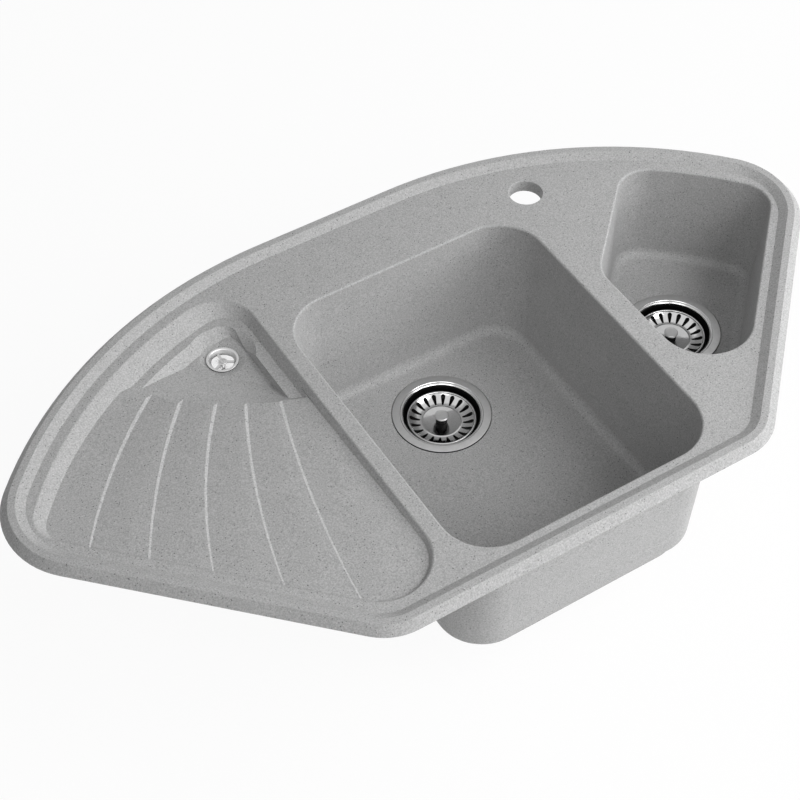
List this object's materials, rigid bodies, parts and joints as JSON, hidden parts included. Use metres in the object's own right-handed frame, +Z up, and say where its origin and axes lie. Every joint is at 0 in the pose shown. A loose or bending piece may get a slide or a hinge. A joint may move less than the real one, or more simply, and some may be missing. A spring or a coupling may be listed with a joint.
{
  "type": "corner kitchen sink",
  "caption": "Corner kitchen sink of speckled composite with main bowl, side bowl, fluted drainer with overflow, tap hole and lift-out strainer baskets.",
  "frame": {"origin": "axis of the tap hole, on the level of the worktop that the rim rests on", "axes": "+X to the right along the straight front edge, +Y to the corner of the room behind, +Z up"},
  "size_m": [0.954, 0.5167, 0.2355],
  "materials": {
    "composite": "matt, fine speckled granite composite",
    "steel": "satin",
    "polished_steel": "polished stainless steel",
    "screw_steel": "bright zinc plated",
    "dark_rubber": "matt",
    "black_plastic": "satin",
    "white_plastic": "satin"
  },
  "bodies": {
    "sink": {"sink_body": "composite", "main_bowl_shell": "composite", "side_bowl_shell": "composite", "drainer_tray": "composite", "main_strainer_cup": "steel", "main_flange_gasket": "dark_rubber", "main_lower_gasket": "dark_rubber", "main_waste_body": "white_plastic", "side_strainer_cup": "steel", "side_flange_gasket": "dark_rubber", "side_lower_gasket": "dark_rubber", "side_waste_body": "white_plastic", "fixing_screws": "screw_steel", "fixing_nuts": "screw_steel", "overflow_rosette": "polished_steel", "overflow_screw": "screw_steel", "overflow_gasket": "dark_rubber", "overflow_body": "white_plastic"},
    "main_basket": {"main_basket": "polished_steel", "main_basket_seal": "dark_rubber", "main_basket_stem": "black_plastic", "main_basket_knob": "steel"},
    "side_basket": {"side_basket": "polished_steel", "side_basket_seal": "dark_rubber", "side_basket_stem": "black_plastic", "side_basket_knob": "steel"}
  },
  "joints": [
    {"name": "main_basket_lift", "type": "slide", "parent": "sink", "child": "main_basket", "axis": [0, 0, 1], "range_m": [0, 0.21]},
    {"name": "side_basket_lift", "type": "slide", "parent": "sink", "child": "side_basket", "axis": [0, 0, 1], "range_m": [0, 0.175]}
  ]
}
